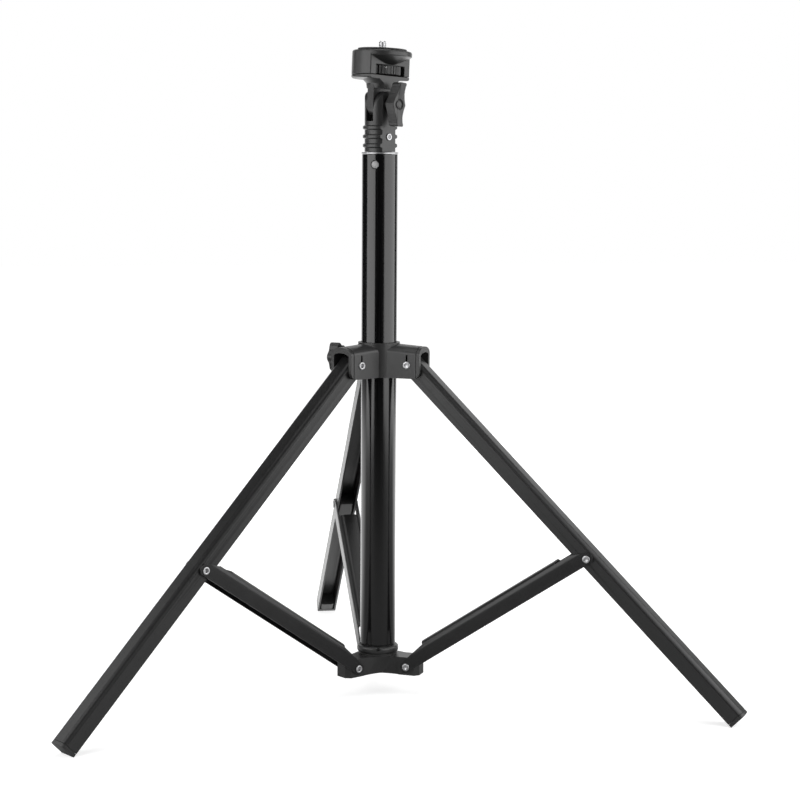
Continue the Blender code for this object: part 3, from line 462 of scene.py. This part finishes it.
def threaded(low, high):
    """Screw with a helical thread from low to high, and a chamfered tip."""
    steps, per_turn = 40, 10
    rings = []
    count = int((high - low) / THREAD_PITCH * per_turn)
    for k in range(count + 1):
        height = low + (high - low) * k / count
        cut_in = 0.7 * max(0.0, height - (high - SCREW_TIP))

        def reach(angle, height=height, cut_in=cut_in):
            phase = ((height - low) / THREAD_PITCH - angle / math.tau) % 1.0
            groove = min(1.0, max(0.0, 1.6 * (1 - abs(2 * phase - 1)) - 0.3))
            return min(SCREW_RADIUS - THREAD_DEPTH * groove, SCREW_RADIUS - cut_in)

        rings.append(ring(reach, height, steps))
    return skinned(rings)


add_piece("camera_screw_thread", threaded(*span("camera_screw", HEAD, 2)), HEAD, "thumb_wheel",
          "bright_steel", ["camera_screw"], SCREW_STEEL)


def hexagon(across):
    """Radius of a hexagon at an angle, from its width across flats."""
    def reach(angle):
        return across / 2 / math.cos((angle % (math.pi / 3)) - math.pi / 6)
    return reach


def socket_screw(low, high):
    """Set screw with a rounded rim and a hexagonal socket in its outer end."""
    radius = 2.8 * MM
    profile = [(NEAR_AXIS, low), (1.6 * MM, low), (radius, low + 0.2 * MM), (radius, high - 0.35 * MM)]
    profile += quarter(2.5 * MM, high - 0.3 * MM, 0.3 * MM, 0, 90)
    rings = [ring(reach, height) for reach, height in profile]
    rings += [ring(hexagon(2.7 * MM), high), ring(hexagon(2.6 * MM), high - 0.15 * MM),
              ring(hexagon(2.5 * MM), low + 0.5 * MM), ring(NEAR_AXIS, low + 0.3 * MM)]
    return skinned(rings)


SCREW_FRAME = frame_at(on_column(middle("neck_screw").z), TILT_AXIS, UP) @ LIE_ALONG_X
add_piece("neck_screw_socket", socket_screw(*span("neck_screw", NECK, 0)), SCREW_FRAME, "top_tube",
          "bright_steel", ["neck_screw"])


def domed_button(low, high):
    """Round button with a low dome."""
    radius, dome = 3.2 * MM, 1.05 * MM
    crown = [(radius * math.cos(math.radians(a)), high - 1.1 * MM + dome * math.sin(math.radians(a)))
             for a in range(0, 90, 9)]
    return turned([(NEAR_AXIS, low), (radius, low)] + crown + [(NEAR_AXIS, high - 0.05 * MM)])


RELEASE_OUT = -Vector(JOINTS["release_press"]["axis"])
BUTTON = turned_up(on_column(middle("release_button").z), RELEASE_OUT)
add_piece("release_button_dome", domed_button(*span("release_button", BUTTON, 2)), BUTTON,
          "release_button", "grey_button", ["release_button"])


# --- Tilt knob -----------------------------------------------------------------------------------

WING_END_HALF = 4.0 * MM
WING_CORNER = 1.6 * MM
WING_WAIST = 0.9 * MM
WING_EDGE = 0.8 * MM
WING_SWEEP = 3.2 * MM
WING_TURN = Matrix.Rotation(math.radians(3.0), 4, "X")
RIB_DEPTH = 0.34 * MM
RIB_START, RIB_END, RIB_STEP = 0.5, 0.93, 0.0717


def wing_outline(inset=0.0):
    """Wing outline in (y, z), with grip ribs on its flanks; inset pulls it in evenly."""
    steps = 60
    low, high = span("tilt_knob", KNOB, 1)
    half = (high - low) / 2
    bottom, top = span("tilt_knob", KNOB, 2)
    length = (top - bottom) / 2
    flank = []
    for i in range(steps + 1):
        along = i / steps
        width = half + (WING_END_HALF - half) * along - WING_WAIST * math.sin(math.pi * along)
        if RIB_START < along < RIB_END:
            width -= RIB_DEPTH * (0.5 - 0.5 * math.cos(math.tau * (along - RIB_START) / RIB_STEP))
        flank.append((width - inset, (length - WING_CORNER) * along))
    tip = [(WING_END_HALF - WING_CORNER + (WING_CORNER - inset) * math.cos(math.radians(a)),
            length - WING_CORNER + (WING_CORNER - inset) * math.sin(math.radians(a)))
           for a in range(15, 91, 15)]
    run = flank + tip
    upper = run + [(-y, z) for y, z in reversed(run)][1:]
    return upper + [(-y, -z) for y, z in upper[1:-1]]


def wing_ring(x, inset):
    """Wing outline at x, with both tips swept outward."""
    plan = wing_outline(inset)
    reach = max(z for _, z in plan)
    return [(x + WING_SWEEP * (z / reach) ** 2, y, z) for y, z in plan]


def round_ring(x, radius, like):
    """Circle round X with one point for each point of an outline, at the same angle."""
    points = []
    for y, z in like:
        angle = math.atan2(z, y)
        points.append((x, radius * math.cos(angle), radius * math.sin(angle)))
    return points


def tilt_knob_shape():
    """Boss, wing with rounded rims, and a raised button with a groove round it on the outer face."""
    plan = wing_outline()
    start, outer = span("tilt_knob", KNOB, 0)
    inner = start + 2.4 * MM
    boss = 5.2 * MM
    rings = [round_ring(start, 3.4 * MM, plan), round_ring(start, boss, plan),
             round_ring(inner, boss, plan), wing_ring(inner, WING_EDGE)]
    for degrees in (30, 60, 90):
        angle = math.radians(degrees)
        rings.append(wing_ring(inner + WING_EDGE * (1 - math.cos(angle)),
                               WING_EDGE * (1 - math.sin(angle))))
    for degrees in (90, 60, 30, 0):
        angle = math.radians(degrees)
        rings.append(wing_ring(outer - WING_EDGE * (1 - math.cos(angle)),
                               WING_EDGE * (1 - math.sin(angle))))
    for radius, depth in ((4.7, 0.0), (4.4, 0.25), (4.3, 1.15), (3.3, 1.15), (3.1, 0.55), (2.8, 0.35),
                          (1.0, 0.3)):
        rings.append(round_ring(outer - depth * MM, radius * MM, plan))
    return skinned(rings)


add_piece("tilt_knob_wing", tilt_knob_shape(), KNOB @ WING_TURN, "tilt_knob", "black_plastic",
          ["tilt_knob"])


# --- Head pad and the white dot on the wheel -----------------------------------------------------

PAD_BORE = 4.2 * MM
PAD_GROOVE = 0.3 * MM
PAD_GROOVE_STEP = 2.0 * MM


def pad_shape():
    """Round pad with a bore, a rounded rim and round grooves on its top."""
    low, high = span("head_pad", HEAD, 2)
    outer = span("head_pad", HEAD, 0)[1]
    profile = [(PAD_BORE, low), (outer, low), (outer, high - 0.5 * MM)]
    profile += quarter(outer - 0.4 * MM, high - 0.4 * MM, 0.4 * MM, 15, 90)
    groove = outer - PAD_GROOVE_STEP
    while groove > PAD_BORE + PAD_GROOVE_STEP:
        profile += [(groove, high), (groove - 0.2 * MM, high - PAD_GROOVE),
                    (groove - 0.6 * MM, high - PAD_GROOVE), (groove - 0.8 * MM, high)]
        groove -= PAD_GROOVE_STEP
    profile += [(PAD_BORE + 0.3 * MM, high), (PAD_BORE, high - 0.3 * MM)]
    return skinned([ring(radius, height, 96) for radius, height in profile], looped=True)


add_piece("head_pad_grooved", pad_shape(), HEAD, "head", "black_rubber", ["head_pad"])

# A small raised white dot on the wheel's rim, near the top of the wheel.
DOT_AZIMUTH = math.radians(-31.7)
DOT_REACH = 15.1 * MM
DOT_DROP = 1.5 * MM
wheel_top = span("thumb_wheel", HEAD, 2)[1]
dot_out = HEAD.to_3x3() @ Vector((math.cos(DOT_AZIMUTH), math.sin(DOT_AZIMUTH), 0))
dot_at = HEAD @ Vector((0, 0, wheel_top - DOT_DROP)) + dot_out * DOT_REACH
dot_profile = [(NEAR_AXIS, 0.0), (0.75 * MM, 0.0), (0.75 * MM, 0.6 * MM), (0.55 * MM, 0.82 * MM),
        (NEAR_AXIS, 0.88 * MM)]
add_piece("wheel_white_dot", turned(dot_profile, 24), turned_up(dot_at, dot_out), "thumb_wheel", None, (),
          WHITE_DOT)


# --- Studio --------------------------------------------------------------------------------------

VIEW_AZIMUTH = math.radians(-10.2)


def from_column(azimuth_degrees, distance, height):
    """Point round the column; azimuth 0 is towards the camera and grows to the camera's right."""
    angle = VIEW_AZIMUTH + math.radians(azimuth_degrees)
    return Vector((HINGE.x + distance * math.sin(angle), HINGE.y - distance * math.cos(angle), height))


def area_light(name, width, height, radiance, place):
    """Rectangular light that faces down; the camera doesn't see it."""
    light = bpy.data.lights.new(name, "AREA")
    light.shape = "RECTANGLE"
    light.size = width
    light.size_y = height
    light.energy = radiance * math.pi * width * height
    item = bpy.data.objects.new(name, light)
    bpy.context.scene.collection.objects.link(item)
    item.location = place
    item.visible_camera = False
    return item


def softbox(name, azimuth_degrees, distance, width, low, high, radiance, aim=None):
    """Upright light that faces the column, or the given point."""
    centre = (low + high) / 2
    item = area_light(name, width, high - low, radiance, from_column(azimuth_degrees, distance, centre))
    target = aim or on_column(centre)
    item.rotation_euler = (target - item.location).to_track_quat("-Z", "Y").to_euler()


softbox("light_left", -58.0, distance=1.35, width=1.5, low=0.02, high=1.5, radiance=2.8)
softbox("light_right", 74.0, distance=1.35, width=2.5, low=0.02, high=1.5, radiance=2.6)
softbox("light_back", 180.0, distance=1.6, width=2.6, low=0.02, high=1.5, radiance=1.0)
softbox("light_far_left", -108.0, distance=1.65, width=0.7, low=0.65, high=1.2, radiance=1.7,
        aim=HINGE * 0.2)
area_light("light_top", 1.6, 1.6, radiance=1.6, place=on_column(1.9))


def pale_floor():
    """White round the stand for the camera; for reflections, lit behind the stand and dim in front."""
    made = look("pale_floor", grey(0.86), 0.9, specular=0.0)
    place = node(made, "ShaderNodeTexCoord")
    seen = node(made, "ShaderNodeLightPath")
    # What the camera sees: a pale floor that fades into the white backdrop.
    reach = node(made, "ShaderNodeVectorMath", operation="LENGTH")
    fade = remap(made, 0.3, 1.2, 0.6, 1.0)
    link(made, place, "Object", reach, 0)
    link(made, reach, "Value", fade, "Value")
    # What the stand reflects: a lit sweep behind it and a dimmer floor in front, both ending far away.
    split = node(made, "ShaderNodeSeparateXYZ")
    sweep_start = remap(made, 0.0, 0.3, 0.0, 1.6)
    sweep_end = remap(made, 1.7, 2.2, 1.0, 0.0)
    sweep = node(made, "ShaderNodeMath", operation="MULTIPLY")
    front = remap(made, -1.3, -0.4, 0.12, 0.4)
    link(made, place, "Object", split, "Vector")
    for gradient in (sweep_start, front):
        link(made, split, "Y", gradient, "Value")
    link(made, reach, "Value", sweep_end, "Value")
    link(made, sweep_start, "Result", sweep, 0)
    link(made, sweep_end, "Result", sweep, 1)
    glow = remap(made, 0.0, 1.0, 0.0, 1.0)
    link(made, seen, "Is Camera Ray", glow, "Value")
    link(made, sweep, "Value", glow, "To Min")
    link(made, fade, "Result", glow, "To Max")
    link(made, glow, "Result", shader_of(made), "Emission Strength")
    tone = remap(made, 0.0, 1.0, 0.0, 0.7)
    link(made, seen, "Is Camera Ray", tone, "Value")
    dim = node(made, "ShaderNodeMath", operation="MULTIPLY")
    link(made, front, "Result", dim, 0)
    link(made, sweep_end, "Result", dim, 1)
    link(made, dim, "Value", tone, "To Min")
    link(made, tone, "Result", shader_of(made), "Base Color")
    shader_of(made).inputs["Emission Color"].default_value = (1, 1, 1, 1)
    return made


FLOOR_HALF = 6.0
floor_mesh = bpy.data.meshes.new("floor")
floor_mesh.from_pydata([(-FLOOR_HALF, -FLOOR_HALF, 0), (FLOOR_HALF, -FLOOR_HALF, 0),
                        (FLOOR_HALF, FLOOR_HALF, 0), (-FLOOR_HALF, FLOOR_HALF, 0)], [], [(0, 1, 2, 3)])
floor = bpy.data.objects.new("floor", floor_mesh)
bpy.context.scene.collection.objects.link(floor)
floor_mesh.materials.append(pale_floor())

# The camera sees a white backdrop; the stand is lit by almost none of it.
world = bpy.data.worlds.new("studio")
bpy.context.scene.world = world
world.use_nodes = True
sky = world.node_tree.nodes["Background"]
sky.inputs["Color"].default_value = (1, 1, 1, 1)
path = node(world, "ShaderNodeLightPath")
shown = remap(world, 0.0, 1.0, 0.02, 1.0)
link(world, path, "Is Camera Ray", shown, "Value")
link(world, shown, "Result", sky, "Strength")


# --- Camera --------------------------------------------------------------------------------------

CAMERA_DISTANCE = 1.7808
CAMERA_HEIGHT = 0.4741
CAMERA_SIDEWAYS = 0.01808
CAMERA_PITCH = math.radians(90.0 - 7.077)
CAMERA_ROLL = math.radians(0.338)
camera = bpy.data.cameras.new("camera")
camera.sensor_width = 36.0
camera.lens = 94.8
camera_item = bpy.data.objects.new("camera", camera)
bpy.context.scene.collection.objects.link(camera_item)
right = Vector((math.cos(VIEW_AZIMUTH), math.sin(VIEW_AZIMUTH), 0))
camera_spot = from_column(0.0, CAMERA_DISTANCE, CAMERA_HEIGHT) + right * CAMERA_SIDEWAYS
camera_item.matrix_world = (Matrix.Translation(camera_spot) @ Matrix.Rotation(VIEW_AZIMUTH, 4, "Z")
                            @ Matrix.Rotation(CAMERA_PITCH, 4, "X")
                            @ Matrix.Rotation(CAMERA_ROLL, 4, "Z"))
bpy.context.scene.camera = camera_item
bpy.context.scene.view_settings.view_transform = "Standard"
